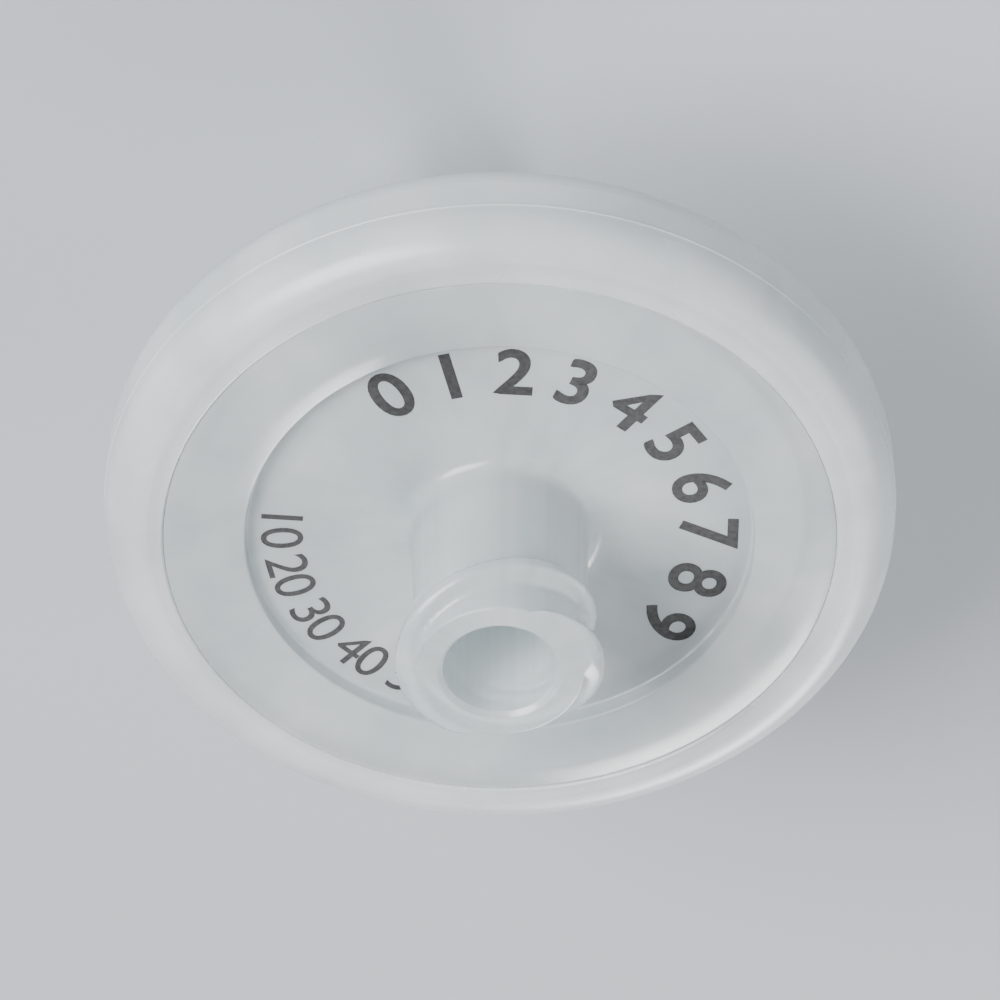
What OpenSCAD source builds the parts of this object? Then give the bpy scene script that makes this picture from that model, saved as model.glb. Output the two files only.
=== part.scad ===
// Luer syringe filter: two moulded housing shells that clamp a membrane disc,
// with a rim ring moulded round the joint. The flow runs down the Z axis,
// from the socket at the top to the tapered tip, which stands on Z = 0.

/* [Membrane] */
// Diameter of the membrane disc
membrane_d = 25; // [20:0.5:50]
// Thickness of the membrane disc
membrane_t = 0.2; // [0.1:0.05:0.4]
// Width of the membrane's edge that the two shells clamp
pinch_w = 1.0; // [0.6:0.1:1.8]

/* [Outlet shell] */
// Diameter of the outlet taper at its tip
slip_tip_d = 3.95; // [3.93:0.01:4.8]
// Length of the outlet taper
slip_len = 8; // [6:0.5:12]
// Diameter of the outlet passage at the tip
outlet_lumen_d = 2.35; // [1.5:0.05:2.8]
// Width that the passage gains on the way to the membrane
outlet_lumen_draft = 0.25; // [0.1:0.05:0.6]
// Diameter of the outlet hub where the taper begins
outlet_hub_d = 5.9; // [5.6:0.1:7.5]
// Diameter of the outlet hub at the housing
outlet_hub_root_d = 6.7; // [6:0.1:8.2]
// Height of the outlet hub
outlet_hub_h = 5.2; // [3:0.1:8]
// Thickness of the outlet plate
outlet_plate_t = 1.3; // [0.8:0.1:2]
// Radius where the outlet hub meets the plate
outlet_root_round = 0.6; // [0.2:0.1:1.2]

/* [Membrane support] */
// Height of the support ribs under the membrane
support_h = 0.4; // [0.3:0.1:1]
// Width of a support ring at its foot
support_ring_w = 0.6; // [0.4:0.05:0.8]
// Distance from one support ring to the next
support_pitch = 1.2; // [1:0.1:2]
// Radius of the innermost support ring
support_first_r = 2.2; // [1.9:0.1:3]
// Number of channels that cross the rings
channel_count = 8; // [4:1:12]
// Width of a crossing channel
channel_w = 0.8; // [0.5:0.1:1.2]
// Depth of a crossing channel below the foot of the rings
channel_depth = 0.15; // [0.1:0.05:0.4]

/* [Inlet shell] */
// Height of the chamber above the membrane
chamber_h = 0.4; // [0.3:0.1:1.2]
// Thickness of the inlet plate
inlet_plate_t = 1.3; // [0.8:0.1:2]
// Number of ribs in the roof of the chamber
roof_rib_count = 12; // [6:1:16]
// Width of a roof rib
roof_rib_w = 0.5; // [0.4:0.1:0.8]
// Gap between the roof ribs and the membrane
roof_rib_gap = 0.1; // [0.05:0.05:0.2]
// Width of the raised ledge round the recess
ledge_w = 3.15; // [2:0.05:5]
// Height of the ledge above the recess
ledge_h = 0.6; // [0.3:0.1:1.2]
// Rise of the crowned ledge at its middle
ledge_crown = 0.25; // [0.1:0.05:0.5]

/* [Inlet socket] */
// Height of the inlet hub above the recess
inlet_hub_h = 8; // [7.9:0.1:12]
// Diameter of the inlet hub at the mouth
inlet_hub_d = 6.4; // [5.8:0.1:6.7]
// Diameter of the inlet hub at the housing
inlet_hub_root_d = 6.7; // [6.4:0.1:8.2]
// Radius where the inlet hub meets the plate
inlet_root_round = 0.6; // [0.2:0.1:1.2]
// Diameter of the tapered socket at its mouth, before the chamfer
socket_mouth_d = 4.3; // [4.27:0.01:4.6]
// Depth of the socket, with the straight well at its foot
socket_depth = 7.8; // [6:0.1:7.8]
// Depth of that straight well
well_depth = 0.7; // [0.3:0.1:1]
// Width of the chamfer round the mouth
mouth_chamfer = 0.2; // [0.1:0.05:0.35]
// Diameter of the passage from the socket to the chamber
inlet_lumen_d = 2.4; // [1.5:0.1:3]
// Diameter across the crests of the lock thread
thread_crest_d = 7.8; // [7.4:0.05:8.4]
// Length of the lock thread down from the mouth
thread_len = 3; // [2:0.1:5]
// Rise of the lock thread in one turn
thread_lead = 5; // [4:0.1:6]

/* [Rim ring] */
// Clearance between the two shells, and round the membrane
shell_gap = 0.05; // [0.02:0.01:0.1]
// Thickness of the outlet shell's cup wall
cup_wall = 1.05; // [0.8:0.05:1.6]
// Height of the cup wall above the membrane
cup_rise = 0.4; // [0.3:0.05:0.8]
// Thickness of the rim outside the shells
rim_wall = 1.4; // [1:0.1:2.4]
// Radius of the rim's outer edges
rim_round = 1.6; // [0.6:0.1:2]
// Thickness of the rim's lip on the outlet face
outlet_lip_t = 0.6; // [0.4:0.1:1.2]
// Width of the rim's lip on the outlet face
outlet_lip_w = 1.8; // [1.2:0.1:2.6]
// Thickness of the rim's lip on the inlet face
inlet_lip_t = 0.7; // [0.5:0.1:1.2]
// Width of the rim's lip on the inlet face
inlet_lip_w = 0.85; // [0.8:0.05:1.4]
// Width of the key that locks the rim to each shell
key_w = 0.4; // [0.3:0.05:0.5]
// Depth of that key
key_h = 0.35; // [0.2:0.05:0.5]
// Height of the fine ridge where the rim's mould parts
parting_ridge = 0.04; // [0.02:0.01:0.08]

/* [Hidden] */
$fn = 96;
// The luer taper, as diameter for each unit of length
LUER_TAPER = 0.06;
// The lock thread has two starts, with these arcs at its foot and its crest
THREAD_STARTS = 2;
THREAD_FOOT_ARC = 74;
THREAD_CREST_ARC = 34;
// Width of the thread's chamfer at the mouth
THREAD_CHAMFER = 0.35;
// A sliver by which joined shapes run into each other
BITE = 0.2;
// Width of the broken edges and of the small fillets
SMALL_ROUND = 0.15;
// Width that a short wall loses to its draft
SMALL_DRAFT = 0.05;

// Radii, from the membrane outwards
membrane_r = membrane_d / 2;
cup_r = membrane_r + shell_gap;
shell_r = cup_r + cup_wall;
rim_r = shell_r + rim_wall;
chamber_r = membrane_r - pinch_w;
inlet_lip_r = shell_r - inlet_lip_w;
outlet_lip_r = shell_r - outlet_lip_w;
recess_r = inlet_lip_r - ledge_w;

// Heights, from the tip upwards
outlet_face_z = slip_len + outlet_hub_h;
support_floor_z = outlet_face_z + outlet_plate_t;
membrane_z = support_floor_z + support_h;
membrane_top_z = membrane_z + membrane_t;
joint_z = membrane_top_z + cup_rise;
roof_z = membrane_top_z + chamber_h;
recess_z = roof_z + inlet_plate_t;
ledge_z = recess_z + ledge_h;
mouth_z = recess_z + inlet_hub_h;
rim_bottom_z = outlet_face_z - outlet_lip_t;
rim_top_z = recess_z + inlet_lip_t;

// Luer tapers
slip_tip_r = slip_tip_d / 2;
slip_root_r = slip_tip_r + slip_len * LUER_TAPER / 2;
socket_mouth_r = socket_mouth_d / 2;
well_r = socket_mouth_r - (socket_depth - well_depth) * LUER_TAPER / 2;
outlet_lumen_r = outlet_lumen_d / 2;
outlet_lumen_top_r = outlet_lumen_r + outlet_lumen_draft / 2;
inlet_lumen_r = inlet_lumen_d / 2;

// Profiles are drawn with X as the radius and Y as the height.
module band(r0, r1, z0, z1) {
    translate([r0, z0]) square([r1 - r0, z1 - z0]);
}

// What an arc takes off a square outer edge. turn is the way the edge's two sides run, in degrees.
module edge_trim(r, z, radius, turn) {
    translate([r, z]) rotate(turn) difference() {
        square(radius);
        translate([radius, radius]) circle(radius);
    }
}

// A square stood on its corner, which takes a narrow chamfer off an edge.
module edge_break(r, z) {
    translate([r, z]) rotate(45) square(SMALL_ROUND * sqrt(2), center = true);
}

// The arc that fills the corner between a hub and a plate. away is 1 above the plate, -1 below it.
module root_fillet(r, z, radius, away) {
    difference() {
        band(0, r + radius, min(z - away * BITE, z + away * radius), max(z - away * BITE, z + away * radius));
        translate([r + radius, z + away * radius]) circle(radius);
    }
}

module revolve() {
    rotate_extrude() children();
}

// Keys of the rim ring, which fill grooves in both shells.
module key_profile() {
    key_r = shell_r - inlet_lip_w / 2;
    band(key_r - key_w / 2, key_r + key_w / 2, recess_z - key_h, recess_z + BITE);
    band(key_r - key_w / 2, key_r + key_w / 2, outlet_face_z - BITE, outlet_face_z + key_h);
}

// ---- Outlet shell ----

// Radius of the outlet hub at a height
function outlet_hub_r(z) = outlet_hub_d / 2
    + (outlet_hub_root_d - outlet_hub_d) / 2 * (z - slip_len) / outlet_hub_h;

// The tapered tip and the hub above it, as one stem.
module outlet_stem_profile() {
    polygon([
        [0, 0],
        [slip_tip_r - SMALL_ROUND, 0],
        [slip_tip_r + SMALL_ROUND * LUER_TAPER / 2, SMALL_ROUND],
        [slip_root_r, slip_len],
        [outlet_hub_r(slip_len) - SMALL_ROUND, slip_len],
        [outlet_hub_r(slip_len + SMALL_ROUND), slip_len + SMALL_ROUND],
        [outlet_hub_r(outlet_face_z), outlet_face_z],
        [0, outlet_face_z]
    ]);
    root_fillet(outlet_hub_r(outlet_face_z - outlet_root_round), outlet_face_z, outlet_root_round, -1);
    root_fillet(slip_root_r - SMALL_ROUND * LUER_TAPER / 2, slip_len, SMALL_ROUND, -1);
}

// Rings that hold the membrane off the plate, each a little narrower at its top.
module support_ring_profile() {
    ring_draft = 0.1;
    last_r = chamber_r - support_ring_w;
    for (r = [support_first_r : support_pitch : last_r])
        translate([r, support_floor_z]) polygon([
            [-support_ring_w / 2, -BITE],
            [support_ring_w / 2, -BITE],
            [support_ring_w / 2, 0],
            [support_ring_w / 2 - ring_draft, support_h],
            [-support_ring_w / 2 + ring_draft, support_h],
            [-support_ring_w / 2, 0]
        ]);
}

module outlet_passage_profile() {
    polygon([
        [0, -BITE],
        [outlet_lumen_r, -BITE],
        [outlet_lumen_r, 0],
        [outlet_lumen_top_r, support_floor_z],
        [outlet_lumen_top_r, membrane_top_z],
        [0, membrane_top_z]
    ]);
}

module outlet_profile() {
    difference() {
        union() {
            outlet_stem_profile();
            band(0, shell_r, outlet_face_z, support_floor_z);
            band(chamber_r, shell_r, outlet_face_z, membrane_z);
            band(cup_r, shell_r, outlet_face_z, joint_z);
            support_ring_profile();
        }
        outlet_passage_profile();
        edge_break(outlet_lumen_top_r, support_floor_z);
        edge_break(cup_r, joint_z);
        key_profile();
    }
}

// Channels that cross the rings and lead the filtrate to the passage.
module crossing_channels() {
    for (i = [0 : channel_count - 1])
        rotate(i * 360 / channel_count)
            translate([0, -channel_w / 2, support_floor_z - channel_depth])
                cube([chamber_r - support_ring_w / 2, channel_w, channel_depth + support_h + membrane_t]);
}

module outlet_housing() {
    color("aliceblue") difference() {
        revolve() outlet_profile();
        crossing_channels();
    }
}

// ---- Inlet shell ----

// Radius of the inlet hub at a height
function inlet_hub_r(z) = inlet_hub_root_d / 2
    - (inlet_hub_root_d - inlet_hub_d) / 2 * (z - recess_z) / inlet_hub_h;

module inlet_hub_profile() {
    polygon([
        [0, recess_z - BITE],
        [inlet_hub_r(recess_z), recess_z - BITE],
        [inlet_hub_r(recess_z), recess_z],
        [inlet_hub_r(mouth_z - SMALL_ROUND), mouth_z - SMALL_ROUND],
        [inlet_hub_r(mouth_z) - SMALL_ROUND, mouth_z],
        [0, mouth_z]
    ]);
    root_fillet(inlet_hub_r(recess_z + inlet_root_round), recess_z, inlet_root_round, 1);
}

// The raised ledge round the recess, crowned by a shallow arc.
module ledge_profile() {
    crown_r = (pow(ledge_w / 2, 2) + pow(ledge_crown, 2)) / (2 * ledge_crown);
    difference() {
        intersection() {
            band(recess_r, inlet_lip_r, recess_z - BITE, ledge_z + 2 * ledge_crown);
            translate([(recess_r + inlet_lip_r) / 2, ledge_z + ledge_crown - crown_r]) circle(crown_r);
        }
        polygon([[recess_r, recess_z], [recess_r + SMALL_DRAFT, ledge_z + BITE], [recess_r, ledge_z + BITE]]);
        edge_break(recess_r + SMALL_DRAFT, ledge_z);
    }
}

// The tapered socket, the straight well at its foot, and the passage from there to the chamber.
module inlet_passage_profile() {
    well_floor_z = mouth_z - socket_depth;
    polygon([
        [0, membrane_top_z],
        [inlet_lumen_r + SMALL_DRAFT, membrane_top_z],
        [inlet_lumen_r + SMALL_DRAFT, roof_z],
        [inlet_lumen_r, well_floor_z],
        [well_r, well_floor_z],
        [well_r, well_floor_z + well_depth],
        [socket_mouth_r - mouth_chamfer * LUER_TAPER / 2, mouth_z - mouth_chamfer],
        [socket_mouth_r + mouth_chamfer, mouth_z],
        [socket_mouth_r + mouth_chamfer, mouth_z + BITE],
        [0, mouth_z + BITE]
    ]);
}

module inlet_profile() {
    difference() {
        union() {
            inlet_hub_profile();
            ledge_profile();
            band(0, shell_r, roof_z, recess_z);
            band(chamber_r, membrane_r, membrane_top_z, recess_z);
            band(chamber_r, shell_r, joint_z, recess_z);
        }
        inlet_passage_profile();
        edge_break(inlet_lumen_r + SMALL_DRAFT, roof_z);
        edge_break(membrane_r, membrane_top_z);
        key_profile();
    }
}

// Ribs in the roof of the chamber, which spread the flow and back the membrane.
module roof_ribs() {
    start_r = inlet_lumen_r + roof_rib_w;
    for (i = [0 : roof_rib_count - 1])
        rotate(i * 360 / roof_rib_count)
            translate([start_r, -roof_rib_w / 2, membrane_top_z + roof_rib_gap])
                cube([chamber_r + BITE - start_r, roof_rib_w, chamber_h - roof_rib_gap + BITE]);
}

// A point at a radius and an angle
function polar(r, a) = [r * cos(a), r * sin(a)];

// One start of the lock thread in plan: wide at its foot in the hub, narrow at its crest.
module thread_plan() {
    foot_r = inlet_hub_d / 2 - BITE;
    crest_r = thread_crest_d / 2;
    polygon([
        polar(foot_r, -THREAD_FOOT_ARC / 2),
        polar(crest_r, -THREAD_CREST_ARC / 2),
        polar(crest_r, 0),
        polar(crest_r, THREAD_CREST_ARC / 2),
        polar(foot_r, THREAD_FOOT_ARC / 2),
        polar(foot_r, 0)
    ]);
}

// What bounds the thread: 45 degree cones chamfer it at the mouth and run it out at its lower end.
module thread_bound_profile() {
    foot_r = inlet_hub_d / 2;
    bound_r = thread_crest_d / 2 + BITE;
    chamfer_r = thread_crest_d / 2 - THREAD_CHAMFER;
    bottom_z = mouth_z - thread_len;
    polygon([
        [0, bottom_z],
        [foot_r, bottom_z],
        [bound_r, bottom_z + bound_r - foot_r],
        [bound_r, mouth_z - (bound_r - chamfer_r)],
        [chamfer_r, mouth_z],
        [0, mouth_z]
    ]);
}

// The double-start lock thread, which winds down from the mouth.
module lock_thread() {
    twist = 360 * thread_len / thread_lead;
    slice_turn = 9;
    intersection() {
        union() {
            for (i = [0 : THREAD_STARTS - 1])
                rotate(i * 360 / THREAD_STARTS)
                    translate([0, 0, mouth_z - thread_len])
                        linear_extrude(thread_len, twist = -twist, slices = ceil(twist / slice_turn), segments = 6)
                            thread_plan();
        }
        revolve() thread_bound_profile();
    }
}

module inlet_housing() {
    color("aliceblue") union() {
        revolve() inlet_profile();
        roof_ribs();
        lock_thread();
    }
}

// ---- Membrane and rim ----

module membrane() {
    color("white") translate([0, 0, membrane_z]) cylinder(h = membrane_t, r = membrane_r);
}

// The rim is moulded round both shells, so its inside is their outside.
module rim_profile() {
    difference() {
        band(outlet_lip_r, rim_r, rim_bottom_z, rim_top_z);
        edge_trim(rim_r, rim_bottom_z, rim_round, 90);
        edge_trim(rim_r, rim_top_z, rim_round, 180);
        edge_trim(outlet_lip_r, rim_bottom_z, SMALL_ROUND, 0);
        band(0, shell_r, outlet_face_z, recess_z);
        band(0, inlet_lip_r, outlet_face_z, rim_top_z + BITE);
        edge_trim(inlet_lip_r, rim_top_z, SMALL_ROUND, -90);
    }
    key_profile();
    translate([rim_r - parting_ridge, joint_z]) circle(2 * parting_ridge);
}

module overmould_ring() {
    color("ghostwhite") revolve() rim_profile();
}

inlet_housing();
outlet_housing();
membrane();
overmould_ring();
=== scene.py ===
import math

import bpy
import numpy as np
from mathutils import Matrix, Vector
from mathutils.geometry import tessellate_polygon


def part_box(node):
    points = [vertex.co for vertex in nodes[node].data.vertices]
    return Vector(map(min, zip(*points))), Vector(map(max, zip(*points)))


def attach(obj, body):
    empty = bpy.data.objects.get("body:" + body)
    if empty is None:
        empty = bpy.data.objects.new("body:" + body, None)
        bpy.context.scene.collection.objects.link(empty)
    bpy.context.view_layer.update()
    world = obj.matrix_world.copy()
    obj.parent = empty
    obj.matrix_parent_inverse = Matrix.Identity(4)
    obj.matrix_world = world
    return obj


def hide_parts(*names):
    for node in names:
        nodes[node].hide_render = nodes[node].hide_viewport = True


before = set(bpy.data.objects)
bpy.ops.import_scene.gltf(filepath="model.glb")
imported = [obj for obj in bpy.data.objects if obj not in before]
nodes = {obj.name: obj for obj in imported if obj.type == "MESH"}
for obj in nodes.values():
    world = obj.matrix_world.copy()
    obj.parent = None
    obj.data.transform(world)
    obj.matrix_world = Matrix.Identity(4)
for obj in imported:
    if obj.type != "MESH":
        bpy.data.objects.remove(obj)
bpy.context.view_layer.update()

# %% [markdown]
# # A luer syringe filter in natural polypropylene
# A syringe filter is a small disposable: two moulded shells hold a disc of membrane between them,
# and a rim ring moulded round the joint seals them for good. A syringe locks into the socket on top,
# and the filtered liquid leaves through the tapered tip below, on which the filter stands here.
# The frame file has already brought in the four CAD pieces. This lesson gives each one its finish,
# models the inlet shell again as one smooth surface, prints its face, and lights the whole.

MM = 0.001
print("CAD pieces:", ", ".join(sorted(nodes)))

# %% [markdown]
# ## Measuring the frame
# Nothing is placed by eye. The heights and radii that the new pieces share with the CAD model are read
# from the boxes of its nodes. Only the steps that a box doesn't show are stated, in millimetres.

# %% Heights and radii from the CAD boxes
RECESS_UNDER_RIM = 0.7
LEDGE_RISE = 0.6
ROOF_GAP = 0.4
PINCH_WIDTH = 1.0
LIP_WIDTH = 0.85
LEDGE_WIDTH = 3.15

inlet_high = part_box("inlet_housing")[1]
membrane_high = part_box("membrane")[1]
outlet_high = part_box("outlet_housing")[1]
rim_low, rim_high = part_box("overmould_ring")

mouth_z = inlet_high.z / MM
joint_z = outlet_high.z / MM
recess_z = rim_high.z / MM - RECESS_UNDER_RIM
ledge_z = recess_z + LEDGE_RISE
membrane_top_z = membrane_high.z / MM
roof_z = membrane_top_z + ROOF_GAP

shell_r = inlet_high.x / MM
lip_r = shell_r - LIP_WIDTH
recess_r = lip_r - LEDGE_WIDTH
membrane_r = membrane_high.x / MM
chamber_r = membrane_r - PINCH_WIDTH
print(f"mouth {mouth_z:.2f}, recess {recess_z:.2f}, roof {roof_z:.2f}, joint {joint_z:.2f} mm high")
print(f"shell {shell_r:.2f}, recess {recess_r:.2f}, chamber {chamber_r:.2f} mm in radius")

# %% [markdown]
# ## Helpers for revolved surfaces
# A moulded shell is turned round one axis, so its shape is an outline carried round a circle. Real
# moulds have no sharp edges. The first helper rounds each corner of an outline by its own radius, and
# adds points on the straights, because a displaced surface needs rows to bend at.

# %% Rounding an outline
SAME_POINT = 1e-6


def unit(vectors):
    """Each row divided by its length."""
    return vectors / np.linalg.norm(vectors, axis=1, keepdims=True)


def rounded_outline(rows, longest, arc_steps=4):
    """A closed outline from rows of (radius, height, corner radius).

    A corner of half angle h gets an arc that touches both sides at a distance of its radius / tan(h).
    The arc is the weighted quadratic curve through its ends and the corner, with weight sin(h).
    """
    rows = np.asarray(rows, float)
    corners = rows[:, :2]
    to_last = unit(np.roll(corners, 1, axis=0) - corners)
    to_next = unit(np.roll(corners, -1, axis=0) - corners)
    half = np.arccos(np.clip((to_last * to_next).sum(axis=1), -1, 1)) / 2
    reach = (rows[:, 2] / np.tan(half))[:, None]
    start = (corners + to_last * reach)[:, None]
    end = (corners + to_next * reach)[:, None]
    t = np.linspace(0, 1, arc_steps + 1)[None, :, None]
    first, last = (1 - t) ** 2, t**2
    bent = 2 * t * (1 - t) * np.sin(half)[:, None, None]
    points = (first * start + bent * corners[:, None] + last * end) / (first + bent + last)
    points = points.reshape(-1, 2)
    apart = np.linalg.norm(points - np.roll(points, 1, axis=0), axis=1) > SAME_POINT
    return fill_straights(points[apart], longest)


def fill_straights(points, longest):
    """Cut each step of a closed outline into equal parts no longer than longest(points) allows."""
    step = np.roll(points, -1, axis=0) - points
    parts = np.maximum(1, np.ceil(np.linalg.norm(step, axis=1) / longest(points)).astype(int))
    owner = np.repeat(np.arange(len(points)), parts)
    first = np.concatenate([[0], np.cumsum(parts)[:-1]])
    share = (np.arange(len(owner)) - first[owner]) / parts[owner]
    return points[owner] + share[:, None] * step[owner]


square = [(0, 0, 0.2), (1, 0, 0.2), (1, 1, 0.2), (0, 1, 0.2)]
print("a square with round corners:", len(rounded_outline(square, lambda points: 0.5)), "points")

# %% [markdown]
# The next two helpers turn arrays into a mesh. A grid closes on itself in both directions, so the
# surface has neither poles nor open seams. The order of a face's corners makes it face outwards when
# the outline runs counterclockwise, with the radius to the right and the height up.


# %% Turning arrays into a mesh
def mesh_from(name, points, faces):
    """A smooth-shaded mesh object, with points in millimetres and faces as equal rows of corner numbers."""
    mesh = bpy.data.meshes.new(name)
    corners = faces.shape[1]
    mesh.vertices.add(len(points))
    mesh.vertices.foreach_set("co", (points * MM).astype(np.float32).ravel())
    mesh.loops.add(faces.size)
    mesh.loops.foreach_set("vertex_index", faces.astype(np.int32).ravel())
    mesh.polygons.add(len(faces))
    mesh.polygons.foreach_set("loop_start", np.arange(0, faces.size, corners, dtype=np.int32))
    mesh.polygons.foreach_set("use_smooth", np.ones(len(faces), bool))
    mesh.update(calc_edges=True)
    mesh.validate()
    made = bpy.data.objects.new(name, mesh)
    bpy.context.scene.collection.objects.link(made)
    print(f"{name}: {len(points)} points, {len(faces)} faces")
    return made


def revolved_mesh(name, radius, height):
    """A closed mesh from two arrays with a row for each outline point and a column for each angle.

    The point at row i and angle a lies at (radius cos a, radius sin a, height).
    """
    rows, turns = radius.shape
    angle = np.linspace(0, 2 * np.pi, turns, endpoint=False)
    points = np.stack([radius * np.cos(angle), radius * np.sin(angle), height], axis=-1)
    row, turn = np.meshgrid(np.arange(rows), np.arange(turns), indexing="ij")
    here, beside = row * turns + turn, row * turns + (turn + 1) % turns
    above = (row + 1) % rows * turns
    faces = np.stack([here, beside, above + (turn + 1) % turns, above + turn], axis=-1)
    return mesh_from(name, points.reshape(-1, 3), faces.reshape(-1, 4))


# %% [markdown]
# ## The inlet shell
# The inlet shell carries the socket with its lock thread, the recess that is printed, and the crowned
# ledge round it. Under its roof are the ribs that spread the flow. One closed surface holds all of it.
# First comes the plain outline, from the roof of the chamber outwards and back down the socket. The
# socket narrows by 6 % of its length, as luer fittings do, so its radius narrows by 3 %.

# %% Outline of the inlet shell
HUB_ROOT_R = 3.35
HUB_MOUTH_R = 3.2
HUB_FILLET = 0.6
SOCKET_MOUTH_R = 2.15
SOCKET_DEPTH = 7.8
WELL_DEPTH = 0.7
LUER_SLOPE = 0.03
LEAD_IN = 0.2
PASSAGE_R = 1.2
THREAD_LENGTH = 3.0
THREAD_MARGIN = 0.25

CROWN = 0.25
CROWN_POINTS = 9
CROWN_OUTER_INSET = 0.2
CROWN_INNER_INSET = 0.25
LEDGE_EDGE = 0.03
KEY_GROOVE_OUTER = 0.2
KEY_GROOVE_INNER = 0.65
KEY_GROOVE_DEPTH = 0.35
DRAFT = 0.05
SKIN_GAP = 0.01

CRISP = 0.03
EASED = 0.05
SOFT = 0.08
ROUND = 0.12

well_floor_z = mouth_z - SOCKET_DEPTH
well_top_z = well_floor_z + WELL_DEPTH
well_r = SOCKET_MOUTH_R - (mouth_z - well_top_z) * LUER_SLOPE
plate_z = recess_z - SKIN_GAP
groove_outer_r = shell_r - KEY_GROOVE_OUTER
groove_inner_r = shell_r - KEY_GROOVE_INNER
groove_z = recess_z - KEY_GROOVE_DEPTH

# the crown of the ledge is a parabola that rises by CROWN at the middle of its width
crown_r = np.linspace(lip_r - CROWN_OUTER_INSET, recess_r + CROWN_INNER_INSET, CROWN_POINTS)
crown_share = (2 * crown_r - lip_r - recess_r) / LEDGE_WIDTH
crown_z = ledge_z + CROWN * (1 - crown_share**2)

# only the wall above this height is cut finely, for the thread
thread_zone_z = mouth_z - THREAD_LENGTH - THREAD_MARGIN
thread_zone_r = np.interp(thread_zone_z, [recess_z, mouth_z], [HUB_ROOT_R, HUB_MOUTH_R])

inlet_rows = [
    (PASSAGE_R + DRAFT, roof_z, ROUND),
    (chamber_r, roof_z, SOFT),
    (chamber_r, membrane_top_z + SKIN_GAP, EASED),
    (membrane_r, membrane_top_z + SKIN_GAP, ROUND),
    (membrane_r, joint_z + SKIN_GAP, EASED),
    (shell_r - SKIN_GAP, joint_z + SKIN_GAP, EASED),
    (shell_r - SKIN_GAP, plate_z, EASED),
    (groove_outer_r, plate_z, CRISP),
    (groove_outer_r, groove_z, CRISP),
    (groove_inner_r, groove_z, CRISP),
    (groove_inner_r, plate_z, CRISP),
    (lip_r - SKIN_GAP, plate_z, CRISP),
    (lip_r - SKIN_GAP, ledge_z, EASED),
    *zip(crown_r, crown_z, np.zeros(len(crown_r))),
    (recess_r + DRAFT, ledge_z + LEDGE_EDGE, ROUND),
    (recess_r, recess_z, ROUND),
    (HUB_ROOT_R, recess_z, HUB_FILLET),
    (thread_zone_r, thread_zone_z, 0.0),
    (HUB_MOUTH_R, mouth_z, ROUND),
    (SOCKET_MOUTH_R + LEAD_IN, mouth_z, SOFT),
    (SOCKET_MOUTH_R - LEAD_IN * LUER_SLOPE, mouth_z - LEAD_IN, SOFT),
    (well_r, well_top_z, ROUND),
    (well_r, well_floor_z, ROUND),
    (PASSAGE_R, well_floor_z, ROUND),
]
print(len(inlet_rows), "corners, socket", round(2 * well_r, 3), "mm across at its foot")

# %% [markdown]
# ## The lock thread
# A luer lock socket has a double-start right-handed thread, whose two ridges end as ears at the mouth.
# Laying strips round the hub would leave seams, so the thread is a swelling of the hub's own wall: for
# each angle and height, how far that point lies from the middle of the nearest ridge says how far the
# wall moves out. Cones bound it at both ends, and soft minimums round its edges as a mould does.

# %% The thread as a swelling of the wall
THREAD_LEAD = 5.0
THREAD_HEIGHT = 0.7
FOOT_HALF_ARC = 37
CREST_HALF_ARC = 17
MOUTH_STEP = 0.35
EDGE_ROUNDING = 0.1


def soft_min(a, b, softness):
    """The smaller of a and b, with the corner between them rounded over about softness."""
    mix = np.clip(0.5 + (b - a) / (2 * softness), 0, 1)
    return b + (a - b) * mix - softness * mix * (1 - mix)


def thread_swelling(angle, height):
    """How far the thread stands out of the hub, in millimetres, at an angle in radians and a height.

    The middle of a start turns by 360 degrees each lead, and the other start is 180 degrees on. The
    ridge falls from its full height at CREST_HALF_ARC from that middle to nothing at FOOT_HALF_ARC.
    """
    bottom = mouth_z - THREAD_LENGTH
    middle_of_start = 360 * (height - bottom) / THREAD_LEAD
    off = (np.degrees(angle) - middle_of_start + 90) % 180 - 90
    flank = (FOOT_HALF_ARC - np.abs(off)) / (FOOT_HALF_ARC - CREST_HALF_ARC) * THREAD_HEIGHT
    out = soft_min(flank, THREAD_HEIGHT, EDGE_ROUNDING)
    out = soft_min(out, MOUTH_STEP + mouth_z - height, EDGE_ROUNDING)
    out = soft_min(out, height - bottom, EDGE_ROUNDING)
    return np.clip(out, 0, THREAD_HEIGHT)


print(f"thread {2 * (HUB_MOUTH_R + THREAD_HEIGHT):.1f} mm across its crests, lead {THREAD_LEAD} mm")

# %% [markdown]
# ## Ribs under the roof
# Twelve ribs hang from the roof of the chamber, close above the membrane. They are a second swelling,
# this time of the roof's height: a point belongs to a rib if its distance from the rib's middle line,
# radius times the sine of the angle between them, is under half the rib's width.

# %% Ribs as a swelling of the roof
RIB_COUNT = 12
RIB_WIDTH = 0.5
RIB_DEPTH = 0.3
RIB_START_R = 1.7
RIB_FLANK = 0.08


def rib_depth(angle, radius):
    """How far the roof comes down, in millimetres, at an angle in radians and a radius.

    The depth is full where RIB_WIDTH / 2 - |radius sin(off)| is above zero, with flanks RIB_FLANK wide.
    """
    spacing = 2 * np.pi / RIB_COUNT
    off = (angle + spacing / 2) % spacing - spacing / 2
    inside = RIB_WIDTH / 2 - np.abs(radius * np.sin(off))
    across = np.clip(inside / RIB_FLANK + 0.5, 0, 1)
    along = np.clip((radius - RIB_START_R) / RIB_FLANK, 0, 1)
    return RIB_DEPTH * across * along


print(RIB_COUNT, "ribs", RIB_DEPTH, "mm deep")

# %% [markdown]
# ## Building the inlet shell
# The outline is repeated at 384 angles as two arrays, and the swellings are added to them. The piece
# takes the place of the faceted CAD shell in the picture, while the CAD shell stays for the physics.

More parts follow.
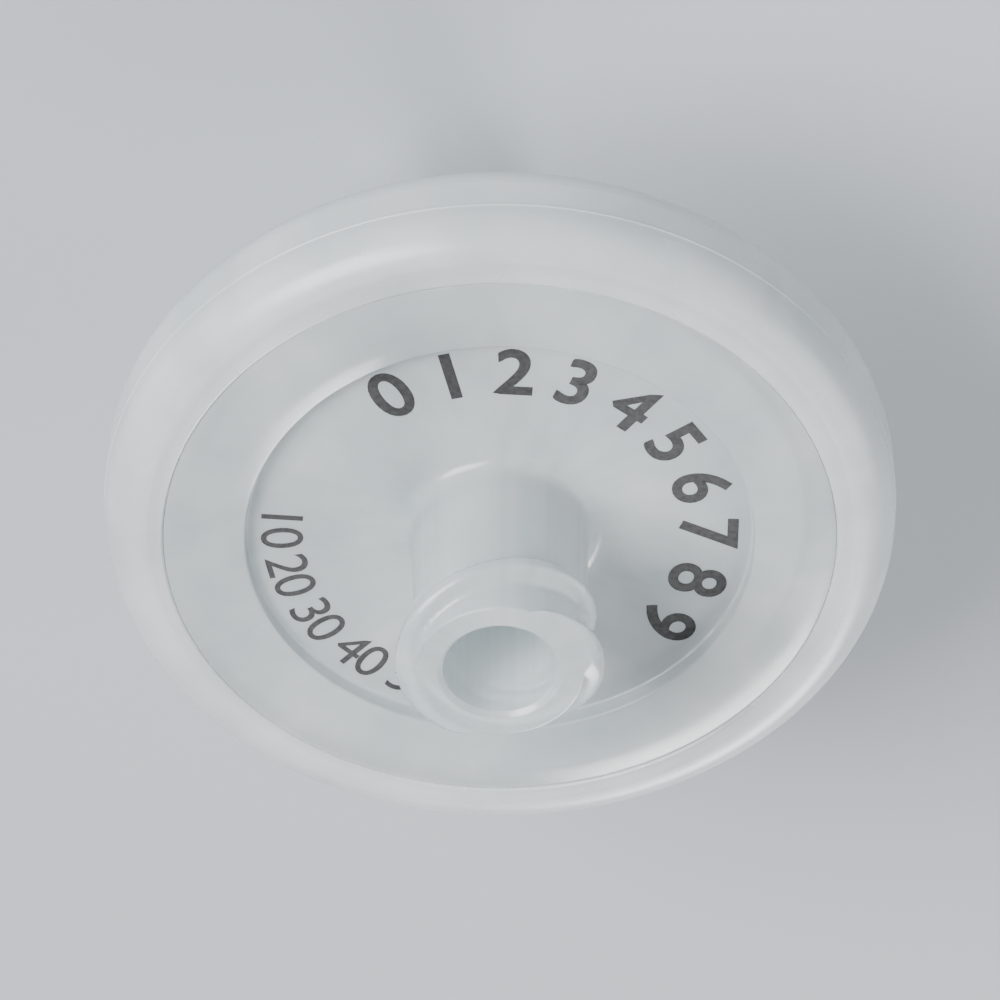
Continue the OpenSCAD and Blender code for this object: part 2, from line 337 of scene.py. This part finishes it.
# %% The inlet shell
TURNS = 384
FINE_STEP = 0.085
COARSE_STEP = 0.5
SAME_HEIGHT = 1e-4


def step_limit(points):
    """The longest allowed step from each outline point: fine where the thread is, coarse elsewhere."""
    on_thread = (points[:, 1] > thread_zone_z - SKIN_GAP) & (points[:, 0] > SOCKET_MOUTH_R + 2 * LEAD_IN)
    return np.where(on_thread, FINE_STEP, COARSE_STEP)


outline = rounded_outline(inlet_rows, step_limit)
angle = np.linspace(0, 2 * np.pi, TURNS, endpoint=False)[None, :]
radius = np.repeat(outline[:, :1], TURNS, axis=1)
height = np.repeat(outline[:, 1:], TURNS, axis=1)

on_wall = (height > thread_zone_z - SKIN_GAP) & (radius > HUB_MOUTH_R - ROUND - SKIN_GAP)
radius = radius + np.where(on_wall, thread_swelling(angle, height), 0)
on_roof = (np.abs(height - roof_z) < SAME_HEIGHT) & (radius < chamber_r - SKIN_GAP)
height = height - np.where(on_roof, rib_depth(angle, radius), 0)

inlet_shell = revolved_mesh("inlet_shell", radius, height)
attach(inlet_shell, "root")
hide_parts("inlet_housing")
print(f"inlet shell {radius.max():.2f} mm in radius, {height.max():.2f} mm high at the mouth")

# %% [markdown]
# ## The print in the recess
# The face of the inlet shell is pad-printed in dark grey: a bold arc of ten characters with their tops
# outwards, and opposite it a fine arc of ten with their tops inwards. Plain numbers fill both here.
# Ink lies on the plastic as a film, so each numeral is a thin closed solid that starts just inside the
# surface. The built-in font gives the outlines as curves. Its own thickening closes the small counters,
# so the outlines are worked out as points and moved out by their normals instead.

# %% Outlines of a numeral
CURVE_STEPS = 6
NEAREST = 0.01
STRAIGHT_ENOUGH = 0.01


def cleaned(loop):
    """The loop without points that lie nearly on the last one or on a straight line."""
    loop = loop[np.linalg.norm(loop - np.roll(loop, 1, axis=0), axis=1) > NEAREST]
    before = unit(loop - np.roll(loop, 1, axis=0))
    after = np.roll(before, -1, axis=0)
    bend = np.abs(before[:, 0] * after[:, 1] - before[:, 1] * after[:, 0])
    return loop[bend > STRAIGHT_ENOUGH]


def enclosed(loop):
    """The area in a loop, positive when it runs counterclockwise: half the sum of x dy - y dx."""
    ahead = np.roll(loop, -1, axis=0)
    return (loop[:, 0] * ahead[:, 1] - loop[:, 1] * ahead[:, 0]).sum() / 2


def numeral_loops(character):
    """The closed outlines of a numeral in the built-in font, each with the ink on its left.

    Between two knots a and d with handles b and c an outline follows the cubic curve
    (1-t)^3 a + 3 (1-t)^2 t b + 3 (1-t) t^2 c + t^3 d.
    """
    letter = bpy.data.curves.new("numeral", "FONT")
    letter.body = character
    text = bpy.data.objects.new("numeral", letter)
    curve = text.to_curve(bpy.context.evaluated_depsgraph_get())
    t = np.linspace(0, 1, CURVE_STEPS, endpoint=False)[None, :, None]
    loops = []
    for spline in curve.splines:
        knots = {}
        for part in ("co", "handle_right", "handle_left"):
            values = np.empty(3 * len(spline.bezier_points), np.float32)
            spline.bezier_points.foreach_get(part, values)
            knots[part] = values.reshape(-1, 1, 3)[:, :, :2].astype(float)
        a, b = knots["co"], knots["handle_right"]
        c, d = np.roll(knots["handle_left"], -1, axis=0), np.roll(knots["co"], -1, axis=0)
        points = (1 - t) ** 3 * a + 3 * (1 - t) ** 2 * t * b + 3 * (1 - t) * t**2 * c + t**3 * d
        loops.append(cleaned(points.reshape(-1, 2)))
    text.to_curve_clear()
    bpy.data.objects.remove(text)
    bpy.data.curves.remove(letter)
    ink_on_left = sum(enclosed(loop) for loop in loops) > 0
    return loops if ink_on_left else [loop[::-1] for loop in loops]


print("outlines of a nought:", [len(loop) for loop in numeral_loops("0")], "points")

# %% [markdown]
# The flat face of a numeral is cut into triangles first, with its counters left open. Only then do the
# outlines grow, the counters less than the rest, as type designers do for a bold face. Each point
# moves along the normals of the two sides that meet there, so the triangles stay a closed solid.

# %% Numerals as thin solids
NUMERAL_CAP = 0.69
COUNTER_SHARE = 0.6
SHARP_TURN = 0.5
CORNER_SHARE = 0.45
NEVER_ZERO = 1e-9


def grown(loop, gain):
    """The loop moved out by gain on its right, and by COUNTER_SHARE of it where the loop is a counter.

    A point between sides with normals p and q moves by gain (p + q) / (1 + p . q), and where p . q is
    under SHARP_TURN by at most CORNER_SHARE of the shorter side.
    """
    ahead = np.roll(loop, -1, axis=0) - loop
    length = np.linalg.norm(ahead, axis=1, keepdims=True)
    q = np.column_stack([ahead[:, 1], -ahead[:, 0]]) / length
    p = np.roll(q, 1, axis=0)
    turn = (p * q).sum(axis=1, keepdims=True)
    shift = (p + q) / (1 + turn) * (gain if enclosed(loop) > 0 else gain * COUNTER_SHARE)
    shorter = np.minimum(length, np.roll(length, 1, axis=0))
    room = np.where(turn < SHARP_TURN, CORNER_SHARE * shorter, np.inf)
    moved = np.linalg.norm(shift, axis=1, keepdims=True) + NEVER_ZERO
    return loop + shift * np.minimum(1, room / moved)


def numeral_solid(character, height, gain):
    """Points and triangles of a numeral that stands on y = 0 with its middle on x = 0.

    The first half of the points is its underside, with z = 0, and the second half its top, with z = 1.
    """
    loops = numeral_loops(character)
    lid = np.array(tessellate_polygon([[(*point, 0) for point in loop] for loop in loops]))
    ends = np.cumsum([len(loop) for loop in loops])
    here = np.arange(ends[-1])
    ahead = np.concatenate([np.roll(part, -1) for part in np.split(here, ends[:-1])])
    up = len(here)
    wall_low = np.column_stack([here, ahead, ahead + up])
    wall_high = np.column_stack([here, ahead + up, here + up])
    flat = np.concatenate([grown(loop, gain) for loop in loops])
    flat = flat - [(flat[:, 0].min() + flat[:, 0].max()) / 2, -gain]
    flat = flat * height / (NUMERAL_CAP + 2 * gain)
    points = np.column_stack([np.tile(flat, (2, 1)), np.repeat([0, 1], up)])
    return points, np.concatenate([lid[:, ::-1], lid + up, wall_low, wall_high])


print("triangles of an eight:", len(numeral_solid("8", 1.0, 0.0)[1]))

# %% [markdown]
# A numeral is laid in its place by moving whole arrays: x runs along the arc, y away from the middle of
# the filter or towards it, and the underside goes just below the plastic's surface.

# %% Laying numerals on an arc
INK_OUTER_R = 9.06
INK_RISE = 0.012
INK_SINK = 0.02


def laid(points, degrees, foot_r, tops_outwards):
    """The points moved onto the recess, with the foot of the numeral at foot_r and at an angle in degrees."""
    turn = math.radians(degrees)
    out = np.array([math.cos(turn), math.sin(turn)])
    up = out if tops_outwards else -out
    reading = np.array([up[1], -up[0]])
    place = out * foot_r + reading * points[:, :1] + up * points[:, 1:2]
    film = recess_z - INK_SINK + (INK_SINK + INK_RISE) * points[:, 2]
    return np.column_stack([place, film])


def print_arc(name, characters, degrees, height, gain, tops_outwards):
    """One piece of ink from the characters at the given angles, all with their outer ends at INK_OUTER_R."""
    foot_r = INK_OUTER_R - height if tops_outwards else INK_OUTER_R
    solids = [numeral_solid(character, height, gain) for character in characters]
    places = [laid(points, turn, foot_r, tops_outwards) for (points, _), turn in zip(solids, degrees)]
    starts = np.cumsum([0] + [len(points) for points in places])
    triangles = np.concatenate([faces + start for (_, faces), start in zip(solids, starts)])
    made = mesh_from(name, np.concatenate(places), triangles)
    made.data.shade_flat()
    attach(made, "root")
    return made


# %% [markdown]
# The bold arc runs clockwise round more than a third of the face, and the fine one counterclockwise
# round the other side. The fine arc holds five tens: the two digits of a ten are set closer to each
# other than to their neighbours, as in any printed row of numbers.

# %% The bold arc and the fine arc
BOLD_DIGITS = "0123456789"
BOLD_FROM = -59
BOLD_TO = -216
BOLD_HEIGHT = 2.25
BOLD_GAIN = 0.022

FINE_TENS = "1020304050"
FINE_FROM = -1
FINE_TO = 67
FINE_HEIGHT = 1.6
PAIR_HALF_ARC = 3.6

bold_degrees = np.linspace(BOLD_FROM, BOLD_TO, len(BOLD_DIGITS))
bold_arc = print_arc("bold_numerals", BOLD_DIGITS, bold_degrees, BOLD_HEIGHT, BOLD_GAIN, True)

pair_count = len(FINE_TENS) // 2
pair_degrees = np.repeat(np.linspace(FINE_FROM, FINE_TO, pair_count), 2)
fine_degrees = pair_degrees + np.tile([-PAIR_HALF_ARC, PAIR_HALF_ARC], pair_count)
fine_arc = print_arc("fine_numerals", FINE_TENS, fine_degrees, FINE_HEIGHT, 0.0, False)

# %% [markdown]
# ## Node groups that several finishes share
# Natural polypropylene is never one even tone. It is slightly cloudy, its skin has the fine satin grain
# of the mould, and the melt leaves faint streaks that run out from the middle. Each of these is a node
# group with named sockets, built once and set differently in each material.


# %% Helpers for nodes
def put(tree, socket, value):
    """Links value to the socket if it is a socket too, and otherwise sets it."""
    if isinstance(value, bpy.types.NodeSocket):
        tree.links.new(value, socket)
    else:
        socket.default_value = value


def add_node(tree, kind, settings=None, **sockets):
    """A node with its settings, and with a value or a link in each named socket (spaces as underscores)."""
    node = tree.nodes.new(kind)
    for key, value in (settings or {}).items():
        setattr(node, key, value)
    for key, value in sockets.items():
        put(tree, node.inputs[key.replace("_", " ")], value)
    return node


def math_node(tree, operation, *values):
    """The output of a Math node."""
    node = tree.nodes.new("ShaderNodeMath")
    node.operation = operation
    for socket, value in zip(node.inputs, values):
        put(tree, socket, value)
    return node.outputs[0]


def mixed_color(tree, blend, factor, a, b):
    """The output of a Mix node for colours a and b."""
    node = tree.nodes.new("ShaderNodeMix")
    node.data_type = "RGBA"
    node.blend_type = blend
    for name, value in (("Factor_Float", factor), ("A_Color", a), ("B_Color", b)):
        socket = next(socket for socket in node.inputs if socket.identifier == name)
        put(tree, socket, value)
    return next(socket for socket in node.outputs if socket.identifier == "Result_Color")


def new_group(name, inputs, outputs):
    """An empty node group with named sockets, with the sockets its nodes read from and write to."""
    tree = bpy.data.node_groups.new(name, "ShaderNodeTree")
    for label, kind, value in inputs:
        socket = tree.interface.new_socket(label, in_out="INPUT", socket_type=kind)
        if value is not None:
            socket.default_value = value
    for label, kind in outputs:
        tree.interface.new_socket(label, in_out="OUTPUT", socket_type=kind)
    return tree, tree.nodes.new("NodeGroupInput").outputs, tree.nodes.new("NodeGroupOutput").inputs


# %% [markdown]
# Cloudiness comes from crystals that grow unevenly as the thick plastic cools. A broad noise moves the
# colour between a clearer and a milkier tone, and its mask also lets a finish vary the roughness.

# %% Milky cloud
cloud, source, result = new_group(
    "milky cloud",
    [
        ("Vector", "NodeSocketVector", None),
        ("Size", "NodeSocketFloat", 300.0),
        ("Clear", "NodeSocketColor", (0.8, 0.85, 0.88, 1)),
        ("Milky", "NodeSocketColor", (0.9, 0.93, 0.95, 1)),
    ],
    [("Color", "NodeSocketColor"), ("Mask", "NodeSocketFloat")],
)
drift = add_node(cloud, "ShaderNodeTexNoise", Vector=source["Vector"], Scale=source["Size"])
drift.inputs["Detail"].default_value = 1.0
drift.inputs["Roughness"].default_value = 0.55
veil = add_node(cloud, "ShaderNodeMapRange", Value=drift.outputs["Fac"], From_Min=0.3, From_Max=0.7)
tone = mixed_color(cloud, "MIX", veil.outputs["Result"], source["Clear"], source["Milky"])
put(cloud, result["Color"], tone)
put(cloud, result["Mask"], veil.outputs["Result"])
print("milky cloud:", len(cloud.nodes), "nodes")

# %% [markdown]
# The melt enters at the middle and runs outwards, and its front leaves faint rays. A noise over the
# direction from the axis, which changes only slowly with the distance from it, stretches into such rays.

# %% Flow streaks
RAY_DRIFT = 60.0

streaks, source, result = new_group(
    "flow streaks",
    [("Vector", "NodeSocketVector", None), ("Count", "NodeSocketFloat", 9.0)],
    [("Mask", "NodeSocketFloat")],
)
parts = add_node(streaks, "ShaderNodeSeparateXYZ", Vector=source["Vector"])
across = add_node(streaks, "ShaderNodeCombineXYZ", X=parts.outputs["X"], Y=parts.outputs["Y"])
flat = across.outputs["Vector"]
way_out = add_node(streaks, "ShaderNodeVectorMath", {"operation": "NORMALIZE"}, Vector=flat)
spread = add_node(streaks, "ShaderNodeVectorMath", {"operation": "LENGTH"}, Vector=flat)
turned = add_node(streaks, "ShaderNodeSeparateXYZ", Vector=way_out.outputs["Vector"])
slow = math_node(streaks, "MULTIPLY", spread.outputs["Value"], RAY_DRIFT)
fan = add_node(streaks, "ShaderNodeCombineXYZ", X=turned.outputs["X"], Y=turned.outputs["Y"], Z=slow)
rays = add_node(streaks, "ShaderNodeTexNoise", Vector=fan.outputs["Vector"], Scale=source["Count"])
rays.inputs["Detail"].default_value = 1.5
rays.inputs["Roughness"].default_value = 0.6
ray_mask = add_node(streaks, "ShaderNodeMapRange", Value=rays.outputs["Fac"], From_Min=0.35, From_Max=0.7)
put(streaks, result["Mask"], ray_mask.outputs["Result"])
print("flow streaks:", len(streaks.nodes), "nodes")

# %% [markdown]
# The mould's faces are eroded to a fine satin, and every moulding carries the print of that grain. One
# very fine noise is enough, as a height for the Bump node of each finish.

# %% Satin grain
grain, source, result = new_group(
    "satin grain",
    [("Vector", "NodeSocketVector", None), ("Size", "NodeSocketFloat", 5000.0)],
    [("Height", "NodeSocketFloat")],
)
peel = add_node(grain, "ShaderNodeTexNoise", Vector=source["Vector"], Scale=source["Size"], Detail=0.0)
put(grain, result["Height"], peel.outputs["Fac"])
print("satin grain:", len(grain.nodes), "nodes")

# %% [markdown]
# A finish starts from the Principled shader and reads Object coordinates, so that its pattern stays put
# on the piece from every side. The helpers place a group in a material, and give it the satin skin.


# %% Helpers for finishes
def new_finish(name):
    """A material, its node tree, its shader, and the Object coordinates that its patterns follow."""
    material = bpy.data.materials.new(name)
    material.use_nodes = True
    tree = material.node_tree
    where = tree.nodes.new("ShaderNodeTexCoord").outputs["Object"]
    return material, tree, tree.nodes["Principled BSDF"], where


def place_group(tree, group, **sockets):
    """A group node in a material, with its named sockets set."""
    return add_node(tree, "ShaderNodeGroup", {"node_tree": group}, **sockets)


def add_skin(tree, shader, where, size, strength, depth):
    """Satin grain on a finish: size is the scale of its noise and depth its height in millimetres."""
    skin = place_group(tree, grain, Vector=where, Size=size)
    bump = add_node(tree, "ShaderNodeBump", Height=skin.outputs["Height"], Distance=depth * MM)
    bump.inputs["Strength"].default_value = strength
    put(tree, shader.inputs["Normal"], bump.outputs["Normal"])


# %% [markdown]
# ## Natural polypropylene
# Uncoloured polypropylene is milky and lets only a veiled picture of what lies behind it through. A
# pale base with part of the light transmitted gives both. The shells transmit more than the rim, which
# is thicker and looks whiter. The transmission is a plain value on the shader, and the groups vary the
# colour, the roughness and the surface.

# %% The polypropylene finishes
POLYPROPYLENE_IOR = 1.49
CLOUD_SIZE = 260.0
CLOUD_ROUGHNESS = 0.06
RAY_COUNT = 7.0
STREAK_TINT = (0.80, 0.855, 0.875, 1)


def polypropylene(name, clear, milky, transmission, roughness, streak_share):
    """A translucent polypropylene finish, from its clearest to its milkiest tone."""
    material, tree, shader, where = new_finish(name)
    shader.inputs["IOR"].default_value = POLYPROPYLENE_IOR
    shader.inputs["Transmission Weight"].default_value = transmission
    body = place_group(tree, cloud, Vector=where, Size=CLOUD_SIZE, Clear=clear, Milky=milky)
    rays = place_group(tree, streaks, Vector=where, Count=RAY_COUNT)
    share = math_node(tree, "MULTIPLY", rays.outputs["Mask"], streak_share)
    streaked = mixed_color(tree, "MULTIPLY", share, body.outputs["Color"], STREAK_TINT)
    put(tree, shader.inputs["Base Color"], streaked)
    varied = math_node(tree, "MULTIPLY_ADD", body.outputs["Mask"], CLOUD_ROUGHNESS, roughness)
    put(tree, shader.inputs["Roughness"], varied)
    add_skin(tree, shader, where, size=5000.0, strength=0.5, depth=0.006)
    print(name, "with", len(tree.nodes), "nodes")
    return material


housing = polypropylene(
    "housing polypropylene",
    clear=(0.775, 0.84, 0.86, 1),
    milky=(0.91, 0.95, 0.96, 1),
    transmission=0.52,
    roughness=0.19,
    streak_share=0.45,
)
rim = polypropylene(
    "rim polypropylene",
    clear=(0.795, 0.85, 0.865, 1),
    milky=(0.90, 0.94, 0.95, 1),
    transmission=0.34,
    roughness=0.25,
    streak_share=0.3,
)

# %% [markdown]
# ## Membrane and ink
# The membrane is a matte white porous film, seen only through the plastic and the passages. Pad ink is
# matte too. It is thinner where it skipped the satin skin under it, so its grey isn't even either. Its
# shader reflects less than plastic does, so that the print stays dark where a light glances off it.

# %% The membrane and ink finishes
INK_REFLECTION = 0.3


def speckled(name, cloud_size, clear, milky, roughness, rougher, **skin):
    """A matte finish with two tones, whose roughness grows by rougher where the cloud is milky."""
    material, tree, shader, where = new_finish(name)
    mottle = place_group(tree, cloud, Vector=where, Size=cloud_size, Clear=clear, Milky=milky)
    put(tree, shader.inputs["Base Color"], mottle.outputs["Color"])
    varied = math_node(tree, "MULTIPLY_ADD", mottle.outputs["Mask"], rougher, roughness)
    put(tree, shader.inputs["Roughness"], varied)
    add_skin(tree, shader, where, **skin)
    print(name, "with", len(tree.nodes), "nodes")
    return material, shader


film, _ = speckled(
    "membrane film",
    cloud_size=1500.0,
    clear=(0.88, 0.88, 0.86, 1),
    milky=(0.95, 0.95, 0.94, 1),
    roughness=0.85,
    rougher=0.1,
    size=26000.0,
    strength=0.4,
    depth=0.004,
)
ink, ink_shader = speckled(
    "pad ink",
    cloud_size=5200.0,
    clear=(0.062, 0.062, 0.062, 1),
    milky=(0.042, 0.042, 0.044, 1),
    roughness=0.62,
    rougher=0.12,
    size=12000.0,
    strength=0.3,
    depth=0.003,
)
ink_shader.inputs["Specular IOR Level"].default_value = INK_REFLECTION

# %% [markdown]
# The CAD pieces that stay in the picture, outlet shell, rim and membrane, get their finish in their
# material slots, and the new pieces on their meshes. Both shells are of the same plastic.

# %% Giving every piece its finish
for node_name, finish in (("outlet_housing", housing), ("overmould_ring", rim), ("membrane", film)):
    for material_slot in nodes[node_name].material_slots:
        material_slot.material = finish
for piece, finish in ((inlet_shell, housing), (bold_arc, ink), (fine_arc, ink)):
    piece.data.materials.append(finish)
    print(piece.name, "is finished in", finish.name)

# %% [markdown]
# ## The set
# The filter stands on its tip on a plain pale floor, a square so large that its edges stay out of sight.
# Its paint is darker than the plastic, so that the milky rim stands out against it.

# %% Floor
FLOOR_HALF = 2.0
FLOOR_PAINT = (0.46, 0.49, 0.52, 1)
FLOOR_ROUGHNESS = 0.6

floor_corners = np.array([(-1, -1, 0), (1, -1, 0), (1, 1, 0), (-1, 1, 0)]) * FLOOR_HALF / MM
floor = mesh_from("floor", floor_corners, np.array([[0, 1, 2, 3]]))
floor_finish = bpy.data.materials.new("floor paint")
floor_finish.use_nodes = True
floor_shader = floor_finish.node_tree.nodes["Principled BSDF"]
floor_shader.inputs["Base Color"].default_value = FLOOR_PAINT
floor_shader.inputs["Roughness"].default_value = FLOOR_ROUGHNESS
floor.data.materials.append(floor_finish)

# %% [markdown]
# Satin plastic is shown by the way light rolls over it. A large soft key light to one side of the view
# gives the broad sheen, a weak fill light from the other side opens the shadows, and a back light shines
# through the milky walls. A dim bluish sky lifts what is left in the dark.

# %% Lights
SKY_COLOR = (0.9, 0.94, 1.0, 1)
SKY_STRENGTH = 0.22

middle = Vector((0, 0, (rim_low.z + rim_high.z) / 2))


def soft_light(name, place, size, watts):
    """A square area light that faces the middle of the rim, with its place and size in metres."""
    lamp = bpy.data.lights.new(name, "AREA")
    lamp.size = size
    lamp.energy = watts
    made = bpy.data.objects.new(name, lamp)
    made.location = place
    made.rotation_euler = (middle - Vector(place)).to_track_quat("-Z", "Y").to_euler()
    bpy.context.scene.collection.objects.link(made)


soft_light("key light", place=(0.20, -0.20, 0.26), size=0.22, watts=2.85)
soft_light("fill light", place=(-0.34, 0.05, 0.22), size=0.3, watts=0.9)
soft_light("back light", place=(-0.10, 0.34, 0.16), size=0.15, watts=1.3)
world = bpy.data.worlds.new("studio")
world.use_nodes = True
background = world.node_tree.nodes["Background"]
background.inputs["Color"].default_value = SKY_COLOR
background.inputs["Strength"].default_value = SKY_STRENGTH
bpy.context.scene.world = world
print("lights aimed at", [round(part, 4) for part in middle])

# %% [markdown]
# ## The camera
# The view is 41.3 degrees off the flow axis, from the inlet side, through a long lens, which draws a
# thing this small with hardly any perspective. The camera is turned over, so that the socket leans down
# in the picture. Its three axes are worked out as vectors and are the columns of its rotation.

# %% Camera
OFF_AXIS = math.radians(41.3)
LENS = 400
FRAME_WIDTH = 38 * MM

camera_data = bpy.data.cameras.new("camera")
camera_data.lens = LENS
camera_data.clip_start = 0.01
camera_data.clip_end = 10
camera = bpy.data.objects.new("camera", camera_data)
bpy.context.scene.collection.objects.link(camera)
distance = FRAME_WIDTH * LENS / camera_data.sensor_width
back = Vector((0, -math.sin(OFF_AXIS), math.cos(OFF_AXIS)))
upside = Vector((0, -math.cos(OFF_AXIS), -math.sin(OFF_AXIS)))
side = upside.cross(back)
camera.location = middle + back * distance
camera.rotation_euler = Matrix((side, upside, back)).transposed().to_euler()
bpy.context.scene.camera = camera
print(f"camera {distance:.3f} m away")
